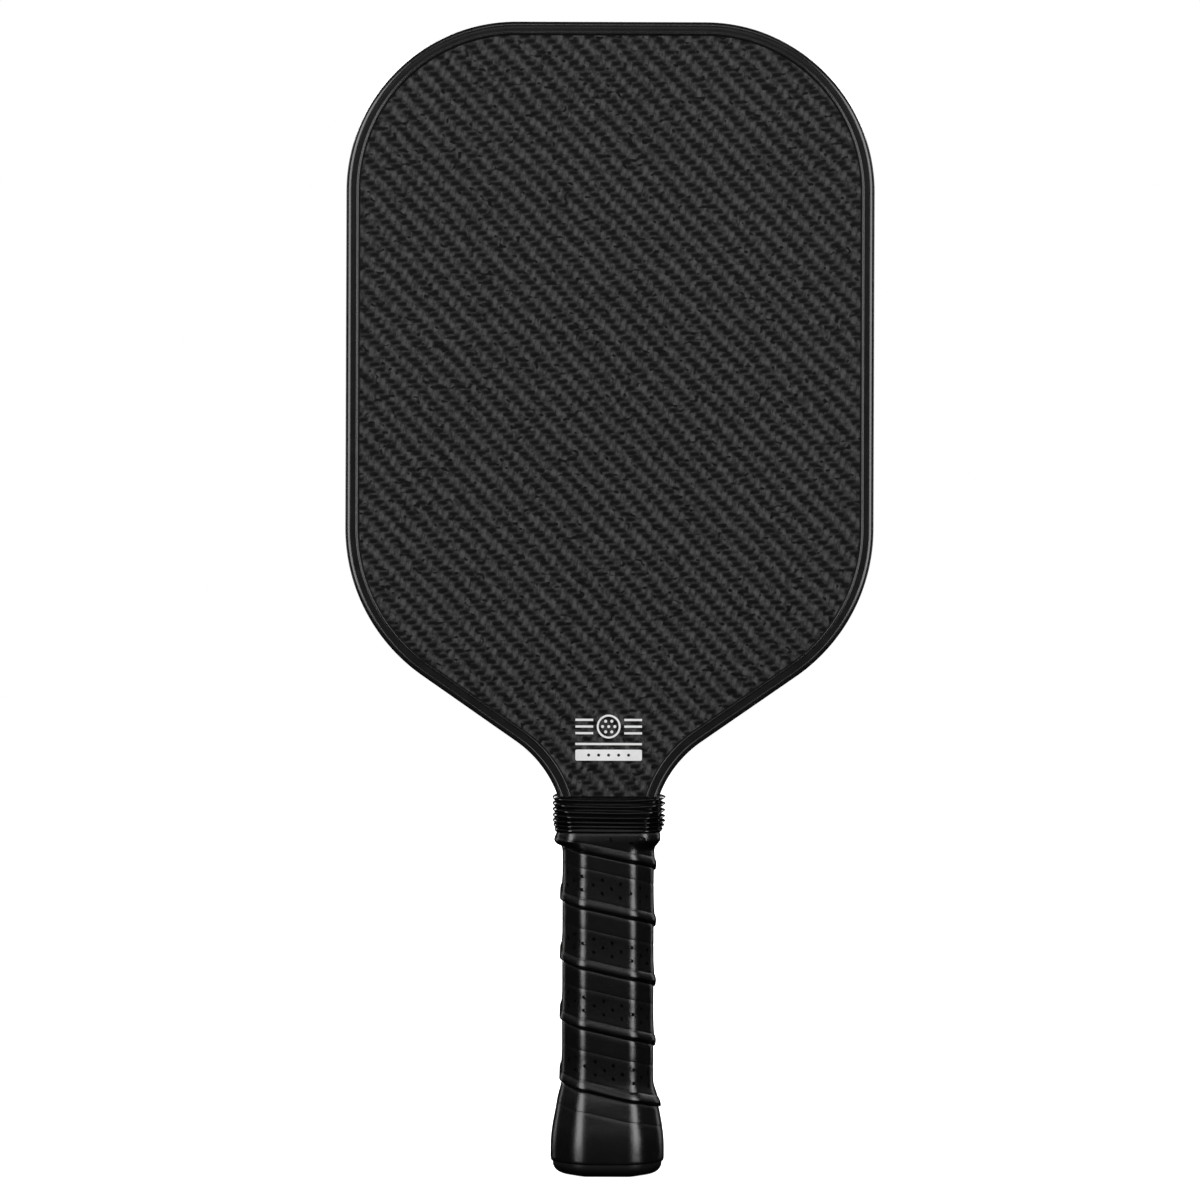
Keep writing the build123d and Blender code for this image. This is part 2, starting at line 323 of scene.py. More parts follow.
def octagon_ring(size, corner, shares):
    """Points and normals round an octagon with round corners, clockwise from its front middle.

    size is half the width, half the depth and the cut of its corners, and shares are turns.
    """
    half_width = size[0] - corner
    half_depth = size[1] - corner
    cut = size[2] - LEG_GROWTH * corner
    flat_x = half_width - cut
    flat_y = half_depth - cut
    corners = [
        (-flat_x, -half_depth),
        (-half_width, -flat_y),
        (-half_width, flat_y),
        (-flat_x, half_depth),
        (flat_x, half_depth),
        (half_width, flat_y),
        (half_width, -flat_y),
        (flat_x, -half_depth),
    ]
    start = (0.0, -half_depth)
    knots = [(0.0, *start, -90.0)]
    for x, y in corners:
        length, old_x, old_y, angle = knots[-1]
        length += sqrt((x - old_x) ** 2 + (y - old_y) ** 2)
        knots.append((length, x, y, angle))
        knots.append((length + corner * pi / 4, x, y, angle - 45))
    length, old_x, old_y, angle = knots[-1]
    knots.append((length + abs(old_x), *start, angle))
    lengths, xs, ys, angles = np.array(knots).T
    at = np.mod(shares, 1.0) * lengths[-1]
    turn = np.radians(np.interp(at, lengths, angles))
    normal_x = np.cos(turn)
    normal_y = np.sin(turn)
    x = np.interp(at, lengths, xs) + corner * normal_x
    y = np.interp(at, lengths, ys) + corner * normal_y
    return x, y, normal_x, normal_y


def handle_point(shares, heights, growths):
    """Points that far outside the handle, which flares over the ends of the edge guard."""
    flare = smooth((heights - FLARE_START_Z) / (FLARE_END_Z - FLARE_START_Z))
    x0, y0, nx0, ny0 = octagon_ring(HANDLE, HANDLE_CORNER, shares)
    x1, y1, nx1, ny1 = octagon_ring(FLARE, FLARE_CORNER, shares)
    x = lerp(x0 + nx0 * growths, x1 + nx1 * growths, flare)
    y = lerp(y0 + ny0 * growths, y1 + ny1 * growths, flare)
    return np.stack([x, y, heights + 0 * x], axis=-1)


def finish_mesh(name, points, faces, node, sharp_angle):
    """Make the piece that stands for a CAD node, from points in millimetres."""
    mesh = bpy.data.meshes.new(name)
    mesh.from_pydata((np.asarray(points) * MM).tolist(), [], faces)
    work = bmesh.new()
    work.from_mesh(mesh)
    bmesh.ops.remove_doubles(work, verts=work.verts, dist=1e-7)
    bmesh.ops.dissolve_degenerate(work, edges=work.edges, dist=1e-7)
    bmesh.ops.recalc_face_normals(work, faces=work.faces)
    work.to_mesh(mesh)
    work.free()
    mesh.shade_smooth()
    mesh.set_sharp_from_angle(angle=radians(sharp_angle))
    piece = bpy.data.objects.new(name, mesh)
    bpy.context.scene.collection.objects.link(piece)
    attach(piece, "root")
    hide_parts(node)
    return piece


def quads(rows, columns, close_rows=False, close_columns=False):
    """Faces between neighbouring points of a grid that is stored row by row."""
    faces = []
    for r in range(rows if close_rows else rows - 1):
        above = (r + 1) % rows
        for c in range(columns if close_columns else columns - 1):
            beside = (c + 1) % columns
            faces.append(
                (
                    r * columns + c,
                    r * columns + beside,
                    above * columns + beside,
                    above * columns + c,
                )
            )
    return faces


# ------------------------------------------------------------- edge guard
def line_stretch(start, end, normal, steps):
    """Points and normals along a straight stretch of the outline, without its end."""
    out = []
    for step in range(steps):
        t = step / steps
        out.append((lerp(start[0], end[0], t), lerp(start[1], end[1], t), *normal))
    return out


def arc_stretch(centre, radius, first, last, steps, side=1):
    """Points and normals along an arc of the outline, without its end. side is -1 if hollow."""
    out = []
    for step in range(steps):
        turn = lerp(first, last, step / steps)
        x = centre[0] + radius * cos(turn)
        z = centre[1] + radius * sin(turn)
        out.append((x, z, side * cos(turn), side * sin(turn)))
    return out


def head_outline():
    """Points and outward normals of the head's outline, from one end of the guard to the other."""
    side_x = HEAD_WIDTH / 2
    top_centre = (side_x - TOP_RADIUS, PADDLE_LENGTH - TOP_RADIUS)
    lower_centre = (side_x - LOWER_RADIUS, LOWER_Z)
    turn_cos = cos(SHOULDER_TURN)
    turn_sin = sin(SHOULDER_TURN)
    throat_x = NECK_HALF_WIDTH + THROAT_RADIUS
    both_radii = LOWER_RADIUS + THROAT_RADIUS
    shoulder = (lower_centre[0] + both_radii * turn_cos - throat_x) / turn_sin
    throat_z = LOWER_Z - both_radii * turn_sin - shoulder * turn_cos
    throat_centre = (throat_x, throat_z)
    lower_end = (
        lower_centre[0] + LOWER_RADIUS * turn_cos,
        lower_centre[1] - LOWER_RADIUS * turn_sin,
    )
    throat_start = (
        throat_centre[0] - THROAT_RADIUS * turn_cos,
        throat_centre[1] + THROAT_RADIUS * turn_sin,
    )
    half = line_stretch((0, PADDLE_LENGTH), (top_centre[0], PADDLE_LENGTH), (0, 1), 14)
    half += arc_stretch(top_centre, TOP_RADIUS, pi / 2, 0, 56)
    half += line_stretch((side_x, top_centre[1]), (side_x, LOWER_Z), (1, 0), 24)
    half += arc_stretch(lower_centre, LOWER_RADIUS, 0, -SHOULDER_TURN, 44)
    half += line_stretch(lower_end, throat_start, (turn_cos, -turn_sin), 8)
    half += arc_stretch(throat_centre, THROAT_RADIUS, pi - SHOULDER_TURN, pi, 40, -1)
    half.append((NECK_HALF_WIDTH, GUARD_END_Z, 1, 0))
    left = [(-x, z, -nx, nz) for x, z, nx, nz in reversed(half[1:])]
    return left + half


def guard_section():
    """Closed section of the guard as (inset from the outline, distance from the middle plane)."""
    # the straight stretches have a point or two more, which keeps the faces even
    front = [(0.0, 0.0), (0.0, 3.0), (0.0, 5.6)]
    steps = 10
    for step in range(steps + 1):
        turn = (pi / 2 - GUARD_EDGE_TILT) * step / steps
        inset = GUARD_EDGE_RADIUS * (1 - cos(turn))
        front.append((inset, GUARD_EDGE_START + GUARD_EDGE_RADIUS * sin(turn)))
    front += GUARD_BAND
    front += [(3.2, PANEL_HALF), (GUARD_WALL, PANEL_HALF), (GUARD_WALL, 4.0)]
    back = [(inset, -y) for inset, y in reversed(front[1:])]
    return front + [(GUARD_WALL, 0.0)] + back


def build_edge_guard():
    """Sweep the guard's section along the head's outline and close its two ends."""
    outline = head_outline()
    section = guard_section()
    points = []
    for x, z, normal_x, normal_z in outline:
        for inset, y in section:
            points.append((x - normal_x * inset, y, z - normal_z * inset))
    faces = quads(len(outline), len(section), close_columns=True)
    last = (len(outline) - 1) * len(section)
    faces.append(tuple(range(len(section))))
    faces.append(tuple(last + i for i in range(len(section))))
    return finish_mesh("edge_guard_moulding", points, faces, "edge_guard", 50)


# ------------------------------------------------------------- grip strip
def pattern_edge(turns):
    """Height of the strip's lower edge after so many turns, if it had no taper. The holes follow it."""
    return np.interp(turns, EDGE_TURNS, EDGE_HEIGHTS)


def taper_used(turns):
    """Rise from 0 to 1 while the strip's tapered start is used up."""
    return smooth((turns - TAPER_TURNS[0]) / (TAPER_TURNS[1] - TAPER_TURNS[0]))


def unbound(heights):
    """Fall from 1 to 0 where the finishing tape begins to bind the strip."""
    return 1 - smooth((heights - BOUND_FROM_Z) / BOUND_RISE)


def real_edge(turns):
    """Height of the strip's cut lower edge, level with the butt until the taper is used up."""
    return lerp(GRIP_BOTTOM_Z, pattern_edge(turns), taper_used(turns))


def real_top(turns):
    """Height of the strip's upper edge, under the next turn."""
    return real_edge(turns + 1) + OVERLAP


def grip_growth(heights):
    """How far the wound strip stands outside the bare handle between its seams."""
    sharp = along_curve(GRIP_GROWTH, heights)
    spread = [along_curve(GRIP_GROWTH, heights + shift) for shift in ROUNDING_SPREAD]
    rounded = sum(spread) / len(spread)
    return np.where((heights > GROWTH_ROUNDED[0]) & (heights < GROWTH_ROUNDED[1]), rounded, sharp)


def strip_heights(turns, across):
    """Real heights of points so far above the strip's patterned edge, kept on the grip."""
    return np.clip(pattern_edge(turns) + across, GRIP_BOTTOM_Z, GRIP_TOP_Z)


def strip_outside(turns, across):
    """Heights and growths of points on the strip's outside."""
    heights = strip_heights(turns, across)
    from_edge = pattern_edge(turns) + across - real_edge(turns)
    below_top = real_top(turns) - pattern_edge(turns) - across
    free = unbound(heights)
    lift = along_curve(STRIP_LIFT, from_edge) * taper_used(turns)
    lift = (lift + along_curve(STRIP_CREASE, across)) * free
    tuck = TUCK_DEPTH * (1 - smooth((below_top - TUCK_WIDTH) / TUCK_SLOPE)) * free
    return heights, grip_growth(heights) + lift - tuck


def strip_inside(turns, across):
    """Heights and growths of points on the strip's inside, which steps out over the turn below it."""
    heights = strip_heights(turns, across)
    from_edge = pattern_edge(turns) + across - real_edge(turns)
    step = INSIDE_STEP * (1 - smooth((from_edge - OVERLAP) / INSIDE_SLOPE))
    step = step * taper_used(turns) * unbound(heights)
    return heights, grip_growth(heights) - along_curve(STRIP_THICKNESS, heights) + step


def strip_columns():
    """Turns at which the strip's columns of points stand."""
    first_turn = TAPER_TURNS[0] - 1
    step = CELL_LENGTH / CELL_COLUMNS / GRIP_ROUND
    cells = int((LAST_TURN - first_turn) / step / CELL_COLUMNS)
    return first_turn + step * np.arange(cells * CELL_COLUMNS + 1)


def strip_rows(turns):
    """Heights above the patterned edge of every row of the strip's outside, for each column."""
    start = real_edge(turns) - pattern_edge(turns)
    end = real_top(turns) - pattern_edge(turns)
    rows = [start + (CELL_EDGES[0] - start) * level / CELL_EDGES[0] for level in LOW_LEVELS]
    for low, high in zip(CELL_EDGES, CELL_EDGES[1:]):
        for step in range(1, CELL_ROWS + 1):
            rows.append(lerp(low, high, step / CELL_ROWS) + 0 * turns)
    rows += [np.minimum(level, end - HIGH_MARGIN) for level in HIGH_LEVELS]
    rows += [end - margin for margin in TOP_MARGINS]
    return np.minimum(np.sort(np.array(rows), axis=0), end)


def punched_cells(heights):
    """First row and first column of each cell of the strip's grid that gets a perforation."""
    cells = (heights.shape[1] - 1) // CELL_COLUMNS
    chosen = []
    for cell in range(cells):
        for band in range(cell % 2, CELL_BANDS, 2):
            row = FIRST_CELL_ROW + band * CELL_ROWS
            column = cell * CELL_COLUMNS
            patch = heights[row : row + CELL_ROWS + 1, column : column + CELL_COLUMNS + 1]
            if patch.min() >= HOLES_FROM_Z and patch.max() <= HOLES_TO_Z:
                chosen.append((row, column))
    return chosen


def cell_border(first_row, first_column):
    """Row and column of each point round one cell of the strip's grid, in order."""
    top = first_row + CELL_ROWS
    right = first_column + CELL_COLUMNS
    border = [(first_row, c) for c in range(first_column, right)]
    border += [(r, right) for r in range(first_row, top)]
    border += [(top, c) for c in range(right, first_column, -1)]
    border += [(r, first_column) for r in range(top, first_row, -1)]
    return border


def hole_ring(middle, border, radius, depth):
    """Points of one ring of a perforation, each on the way from its middle to a border point."""
    turns = []
    across = []
    for turn, level in border:
        run = (turn - middle[0]) * GRIP_ROUND
        rise = level - middle[1]
        length = sqrt(run * run + rise * rise)
        turns.append(middle[0] + run / length * radius / GRIP_ROUND)
        across.append(middle[1] + rise / length * radius)
    turns = np.array(turns)
    heights, growths = strip_outside(turns, np.array(across))
    return handle_point(turns, heights, growths - depth)


def add_hole(points, faces, turns, across, row, column):
    """Sink a perforation into the cell that starts at that row and column, and close its bottom."""
    band = (row - FIRST_CELL_ROW) // CELL_ROWS
    middle_turn = lerp(turns[column], turns[column + CELL_COLUMNS], 0.5)
    middle = (middle_turn, lerp(CELL_EDGES[band], CELL_EDGES[band + 1], 0.5))
    border = cell_border(row, column)
    sides = [(turns[c], across[r, c]) for r, c in border]
    before = [r * len(turns) + c for r, c in border]
    for radius, depth in HOLE_RINGS:
        here = [len(points) + i for i in range(len(border))]
        points.extend(hole_ring(middle, sides, radius, depth))
        for i in range(len(here)):
            j = (i + 1) % len(here)
            faces.append((before[i], before[j], here[j], here[i]))
        before = here
    faces.append(tuple(before))


def strip_skin(heights, punched):
    """Faces of the strip's outside, without the punched cells and the rows that the taper closes."""
    rows, columns = heights.shape
    skipped = set()
    for row, column in punched:
        for r in range(row, row + CELL_ROWS):
            skipped.update((r, c) for c in range(column, column + CELL_COLUMNS))
    flat = heights.reshape(-1)
    faces = []
    for face in quads(rows, columns):
        low = min(flat[face[0]], flat[face[1]])
        high = max(flat[face[2]], flat[face[3]])
        if high - low >= 1e-6 and divmod(face[0], columns) not in skipped:
            faces.append(face)
    return faces


def strip_rim(rows, columns, inner_start, inner_rows):
    """Faces that close the strip between its outside and its inside, along its edges and its ends."""
    last_outer = (rows - 1) * columns
    last_inner = inner_start + (inner_rows - 1) * columns
    faces = []
    for c in range(columns - 1):
        faces.append((c, inner_start + c, inner_start + c + 1, c + 1))
        faces.append((last_outer + c, last_outer + c + 1, last_inner + c + 1, last_inner + c))
    for c in (0, columns - 1):
        outer_line = [r * columns + c for r in range(rows)]
        inner_line = [inner_start + r * columns + c for r in range(inner_rows)]
        faces.append(tuple(outer_line + inner_line[::-1]))
    return faces


def build_grip():
    """Wind the perforated strip round the handle as one closed ribbon with real holes in it."""
    turns = strip_columns()
    across = strip_rows(turns)
    rows, columns = across.shape
    grid_turns = np.broadcast_to(turns, across.shape)
    heights, growths = strip_outside(grid_turns, across)
    points = list(handle_point(grid_turns, heights, growths).reshape(-1, 3))

    faces = []
    punched = punched_cells(heights)
    for row, column in punched:
        add_hole(points, faces, turns, across, row, column)
    faces += strip_skin(heights, punched)

    inner_rows = [LOW_LEVELS.index(level) for level in INSIDE_LEVELS]
    inner_rows += [FIRST_CELL_ROW + CELL_BANDS * CELL_ROWS, rows - 1 - len(TOP_MARGINS), rows - 1]
    inner_start = len(points)
    for r in inner_rows:
        inner_heights, inner_growths = strip_inside(turns, across[r])
        points.extend(handle_point(turns, inner_heights, inner_growths))
    for face in quads(len(inner_rows), columns):
        faces.append(tuple(i + inner_start for i in reversed(face)))
    faces += strip_rim(rows, columns, inner_start, len(inner_rows))

    grip = finish_mesh("grip_strip", points, faces, "cushion_grip", 42)
    return grip


# ------------------------------------------------------------- collar and butt cup
def collar_ring(height, growth, corner, shares):
    """Points round the collar at one height, that far outside its bore."""
    ramp = max(0.0, height - COLLAR_RAMP_Z) / (COLLAR_TOP_Z - COLLAR_RAMP_Z)
    depth_ramp = ramp ** lerp(1.0, COLLAR_BULGE, min(growth, 1.0))
    half_width = lerp(FLARE[0] + COLLAR_FIT, COLLAR_THROAT, ramp) + growth
    half_depth = lerp(FLARE[1] + COLLAR_FIT, GUARD_HALF + COLLAR_GAP, depth_ramp) + growth
    leg = lerp(FLARE[2] + LEG_GROWTH * COLLAR_FIT, LEG_GROWTH * GUARD_EDGE_RADIUS, ramp)
    size = (half_width, half_depth, leg + LEG_GROWTH * max(growth, 0))
    x, y, _, _ = octagon_ring(size, corner, shares)
    return np.stack([x, y, height + 0 * x], axis=-1)


def around(values, shares):
    """Blend a value at the front and back into those at the left and at the right."""
    middle, left, right = values
    swing = np.sin(2 * pi * shares)
    return lerp(middle, lerp(left, right, (1 - swing) / 2), abs(swing) ** 3)


def rib_reach(height, rise, shares):
    """How far the ribs stand out round the collar at one height."""
    droop = RIB_DROOP * np.sin(2 * pi * shares + RIB_DROOP_TURN) * (1 - abs(2 * rise - 1))
    level = np.clip(height - droop, COLLAR_GROOVES[0], COLLAR_GROOVES[-1])
    rib_share = np.mod(np.interp(level, COLLAR_GROOVES, range(len(COLLAR_GROOVES))), 1.0)
    rib = np.sin(pi * rib_share ** around(RIB_LEAN, shares)).clip(0, 1)
    rib = rib ** around(RIB_FULLNESS, shares)
    reach = around(RIB_REACH, shares) * lerp(LOW_RIB_SHARE, 1, smooth(rise / LOW_RIBS_END))
    return rib * reach


def build_collar():
    """Loft the ribbed sleeve: soft ribs at the front and fins at the sides, sharpest on the right."""
    shares = np.arange(192) / 192
    rows = []
    for height in np.linspace(COLLAR_BOTTOM_Z, COLLAR_TOP_Z, 170):
        rise = (height - COLLAR_BOTTOM_Z) / (COLLAR_TOP_Z - COLLAR_BOTTOM_Z)
        ring = collar_ring(height, lerp(*COLLAR_WALL, rise), lerp(*COLLAR_CORNER, rise), shares)
        away = ring - collar_ring(height, 0.0, lerp(*COLLAR_BASE_CORNER, rise), shares)
        away /= np.linalg.norm(away, axis=1)[:, None]
        rows.append(ring + away * rib_reach(height, rise, shares)[:, None])
    bore = (
        (COLLAR_TOP_Z, BORE_GROWTH),
        (COLLAR_RAMP_Z, BORE_GROWTH),
        (COLLAR_MOUTH_Z, BORE_GROWTH),
        (COLLAR_BOTTOM_Z, COLLAR_MOUTH_FLARE),
    )
    rows += [collar_ring(height, growth, BORE_CORNER, shares) for height, growth in bore]
    faces = quads(len(rows), len(shares), close_rows=True, close_columns=True)
    points = np.concatenate(rows)
    return finish_mesh("ribbed_collar", points, faces, "grip_collar", 60)


def build_cup():
    """Loft the cup from the middle of its recess, round its rim, up its skirt and over its seat."""
    shares = np.arange(160) / 160
    level = 0 * shares
    foot = handle_point(shares, level, CUP_OUTSIDE[0][1] + level)
    outward = foot[:, :2] / np.linalg.norm(foot[:, :2], axis=1)[:, None]
    rows = []
    for radius, height in CUP_CIRCLES:
        rows.append(np.column_stack([outward * radius, height + level]))
    for height, growth in CUP_OUTSIDE:
        rows.append(handle_point(shares, height + level, growth + level))
    rows.append(handle_point(shares, HANDLE_BOTTOM_Z + level, CUP_SEAT_GROWTH + level))
    seat_z = HANDLE_BOTTOM_Z - CUP_SEAT_DIP
    rows.append(np.column_stack([outward * CUP_POLE_RADIUS, seat_z + level]))
    count = len(shares)
    last = (len(rows) - 1) * count
    faces = quads(len(rows), count, close_columns=True)
    faces.append(tuple(range(count)))
    faces.append(tuple(last + i for i in range(count)))
    return finish_mesh("butt_cup", np.concatenate(rows), faces, "butt_cap", 40)


# ------------------------------------------------------------- materials
def new_material(name, roughness, specular=0.5):
    """Start a material with one principled shader and return it with its tree and shader."""
    material = bpy.data.materials.new(name)
    material.use_nodes = True
    tree = material.node_tree
    shader = tree.nodes["Principled BSDF"]
    shader.inputs["Roughness"].default_value = roughness
    shader.inputs["Specular IOR Level"].default_value = specular
    return material, tree, shader


def link(tree, source, target):
    """Join an output to an input."""
    tree.links.new(source, target)


def math_node(tree, operation, first, second=0.0):
    """Add a math node and return its output. Each term is a number or an output."""
    node = tree.nodes.new("ShaderNodeMath")
    node.operation = operation
    for socket, term in zip(node.inputs, (first, second)):
        if isinstance(term, (int, float)):
            socket.default_value = term
        else:
            link(tree, term, socket)
    return node.outputs[0]


def scaled(tree, value, factor, offset):
    """Multiply an output by factor and add offset."""
    out = math_node(tree, "MULTIPLY_ADD", value, factor)
    out.node.inputs[2].default_value = offset
    return out


def mix_value(tree, share, low, high):
    """Blend two numbers or outputs by share."""
    node = tree.nodes.new("ShaderNodeMix")
    node.data_type = "FLOAT"
    for name, term in (("Factor", share), ("A", low), ("B", high)):
        if isinstance(term, (int, float)):
            node.inputs[name].default_value = term
        else:
            link(tree, term, node.inputs[name])
    return node.outputs["Result"]


def noise(tree, scale, detail, stretch=(1, 1, 1)):
    """Add noise in the piece's own space, with so many cells per metre."""
    place = tree.nodes.new("ShaderNodeTexCoord")
    mapping = tree.nodes.new("ShaderNodeMapping")
    mapping.inputs["Scale"].default_value = stretch
    texture = tree.nodes.new("ShaderNodeTexNoise")
    texture.inputs["Scale"].default_value = scale
    texture.inputs["Detail"].default_value = detail
    link(tree, place.outputs["Object"], mapping.inputs["Vector"])
    link(tree, mapping.outputs["Vector"], texture.inputs["Vector"])
    return texture.outputs["Fac"]


def ramp(tree, share, stops):
    """Add a colour ramp. Each stop is a place and a grey or a colour."""
    node = tree.nodes.new("ShaderNodeValToRGB")
    elements = node.color_ramp.elements
    while len(elements) < len(stops):
        elements.new(0.5)
    for element, (place, colour) in zip(elements, stops):
        element.position = place
        if isinstance(colour, (int, float)):
            colour = (colour, colour, colour)
        element.color = (*colour, 1)
    link(tree, share, node.inputs["Fac"])
    return node.outputs["Color"]


def bump(tree, shader, height, distance, strength):
    """Let a height in 0 to 1 disturb the shader's normal by so many metres."""
    node = tree.nodes.new("ShaderNodeBump")
    node.inputs["Distance"].default_value = distance
    node.inputs["Strength"].default_value = strength
    link(tree, height, node.inputs["Height"])
    link(tree, node.outputs["Normal"], shader.inputs["Normal"])


def arch(tree, value):
    """Rise from 0 to 1 and fall back as value goes from 0 to 1."""
    swing = scaled(tree, value, 2.0, -1.0)
    square = math_node(tree, "MULTIPLY", swing, swing)
    return math_node(tree, "SUBTRACT", 1.0, square)


def tow_places(tree):
    """Place over the face, counted in upright and in level tows that wander a little."""
    place = tree.nodes.new("ShaderNodeTexCoord")
    split = tree.nodes.new("ShaderNodeSeparateXYZ")
    link(tree, place.outputs["Object"], split.inputs["Vector"])
    wander = scaled(tree, noise(tree, scale=90.0, detail=1.0), 0.5, -0.25)
    jitter = scaled(tree, noise(tree, scale=620.0, detail=2.0), 0.42, -0.21)
    shift = math_node(tree, "ADD", wander, jitter)
    column = math_node(tree, "DIVIDE", split.outputs["X"], TOW_WIDTH)
    row = math_node(tree, "DIVIDE", split.outputs["Z"], TOW_HEIGHT)
    return math_node(tree, "ADD", column, shift), math_node(tree, "ADD", row, shift)


def float_share(tree, steps):
    """How far along its float a tow is, where each float is two tows long and two apart."""
    return math_node(tree, "DIVIDE", math_node(tree, "FLOORED_MODULO", steps, 4.0), 2.0)


def tow_heights(tree, column, row):
    """Height of the upright tows and of the level tows, and 1 where an upright one is on top."""
    column_number = math_node(tree, "FLOOR", column)
    row_number = math_node(tree, "FLOOR", row)
    both_numbers = math_node(tree, "ADD", column_number, row_number)
    phase = math_node(tree, "FLOORED_MODULO", both_numbers, 4.0)
    upright_on_top = math_node(tree, "LESS_THAN", phase, 1.5)

    along_upright = float_share(tree, math_node(tree, "ADD", column_number, row))
    upright_length = math_node(tree, "POWER", arch(tree, along_upright), 0.6)
    upright_width = math_node(tree, "POWER", arch(tree, math_node(tree, "FRACT", column)), 0.5)
    upright_height = math_node(tree, "MULTIPLY", upright_length, upright_width)

    level_steps = math_node(tree, "ADD", math_node(tree, "ADD", row_number, column), 2.0)
    level_length = math_node(tree, "POWER", arch(tree, float_share(tree, level_steps)), 0.6)
    level_width = arch(tree, math_node(tree, "FRACT", row))
    level_height = math_node(tree, "MULTIPLY", level_length, level_width)
    return upright_height, level_height, upright_on_top


def tow_tone(tree, upright_height, level_height, upright_on_top, fibre):
    """Tone of the weave: painted sheen on the upright tows and painted shade on the level tows, broken
    up by filaments, patches and dark spots.
    """
    # painted sheen and shade: the upright tows get lighter and the level tows darker towards their
    # crowns, standing in for how the light falls on them
    upright_tone = scaled(tree, upright_height, 0.34, 0.46)
    level_tone = scaled(tree, math_node(tree, "POWER", level_height, 1.7), -0.56, 0.5)
    tone = mix_value(tree, upright_on_top, level_tone, upright_tone)
    tone = math_node(tree, "MULTIPLY", tone, scaled(tree, fibre, 1.3, 0.35))
    patch = noise(tree, scale=520.0, detail=3.0)
    tone = math_node(tree, "MULTIPLY", tone, math_node(tree, "MULTIPLY", patch, 2.0))
    spots = scaled(tree, noise(tree, scale=470.0, detail=0.0, stretch=(1, 1, 1.3)), 9.0, -2.0)
    spots.node.use_clamp = True
    return math_node(tree, "MULTIPLY", tone, spots)


def twill_material():
    """Carbon laminate, 2x2 twill, with painted sheen: the upright tows are painted lighter as if they
    catch the light, and the level tows darker as painted shade.
    """
    material, tree, shader = new_material("carbon_twill_face", roughness=0.45, specular=0.13)
    upright_height, level_height, upright_on_top = tow_heights(tree, *tow_places(tree))
    upright_fibre = noise(tree, scale=1.0, detail=2.0, stretch=(5200, 1, 420))
    level_fibre = noise(tree, scale=1.0, detail=2.0, stretch=(420, 1, 5200))
    fibre = mix_value(tree, upright_on_top, level_fibre, upright_fibre)
    tone = tow_tone(tree, upright_height, level_height, upright_on_top, fibre)
    # the base colour carries the tows' painted sheen and painted shade along with their random patches
    # and spots
    colour = ramp(tree, tone, ((0.0, 0.0003), (0.2, 0.0028), (0.5, 0.02), (1.0, 0.066)))
    link(tree, colour, shader.inputs["Base Color"])
    height = mix_value(tree, upright_on_top, level_height, upright_height)
    relief = math_node(tree, "ADD", height, math_node(tree, "MULTIPLY", fibre, 0.25))
    bump(tree, shader, relief, distance=0.00012, strength=0.6)
    return material


def guard_material():
    """Black moulded thermoplastic with a fine eggshell grain."""
    material, tree, shader = new_material("edge_guard_plastic", roughness=0.2, specular=0.6)
    shade = noise(tree, scale=220.0, detail=3.0)
    link(tree, ramp(tree, shade, ((0.3, 0.007), (0.7, 0.011))), shader.inputs["Base Color"])
    bump(tree, shader, noise(tree, scale=2600.0, detail=3.0), distance=0.00004, strength=0.28)
    return material


def leather_material():
    """Black cushioned polyurethane leather, tacky, with a fine grain."""
    material, tree, shader = new_material("cushion_grip_leather", roughness=0.26, specular=0.68)
    shade = noise(tree, scale=160.0, detail=3.0)
    link(tree, ramp(tree, shade, ((0.3, 0.002), (0.7, 0.0036))), shader.inputs["Base Color"])
    grain = noise(tree, scale=3600.0, detail=4.0)
    crease = noise(tree, scale=420.0, detail=2.0)
    relief = math_node(tree, "ADD", grain, math_node(tree, "MULTIPLY", crease, 1.4))
    bump(tree, shader, relief, distance=0.00007, strength=0.55)
    return material


def rubber_material():
    """Black rubber of the collar, a little glossier than the grip."""
    material, tree, shader = new_material("collar_rubber_black", roughness=0.19, specular=0.48)
    shade = noise(tree, scale=300.0, detail=2.0)
    link(tree, ramp(tree, shade, ((0.3, 0.0012), (0.7, 0.002))), shader.inputs["Base Color"])
    bump(tree, shader, noise(tree, scale=2200.0, detail=3.0), distance=0.00003, strength=0.4)
    return material


def plain_material(name, low, high, roughness, scale=300.0, metallic=0.0):
    """One colour with a slight drift between low and high."""
    material, tree, shader = new_material(name, roughness)
    shader.inputs["Metallic"].default_value = metallic
    shade = noise(tree, scale, detail=2.0)
    link(tree, ramp(tree, shade, ((0.3, low), (0.7, high))), shader.inputs["Base Color"])
    bump(tree, shader, noise(tree, scale * 8, detail=2.0), distance=0.00003, strength=0.3)
    return material


def honeycomb_material():
    """Milky extruded polypropylene."""
    material, tree, shader = new_material("polypropylene_core", roughness=0.4)
    shader.inputs["Subsurface Weight"].default_value = 0.2
    shade = noise(tree, scale=120.0, detail=2.0)
    stops = ((0.3, (0.66, 0.67, 0.64)), (0.7, (0.74, 0.75, 0.72)))
    link(tree, ramp(tree, shade, stops), shader.inputs["Base Color"])
    return material


def dress(frame, node, material):
    """Give a carried-over CAD node its material."""
    mesh = frame["nodes"][node].data
    mesh.materials.clear()
    mesh.materials.append(material)


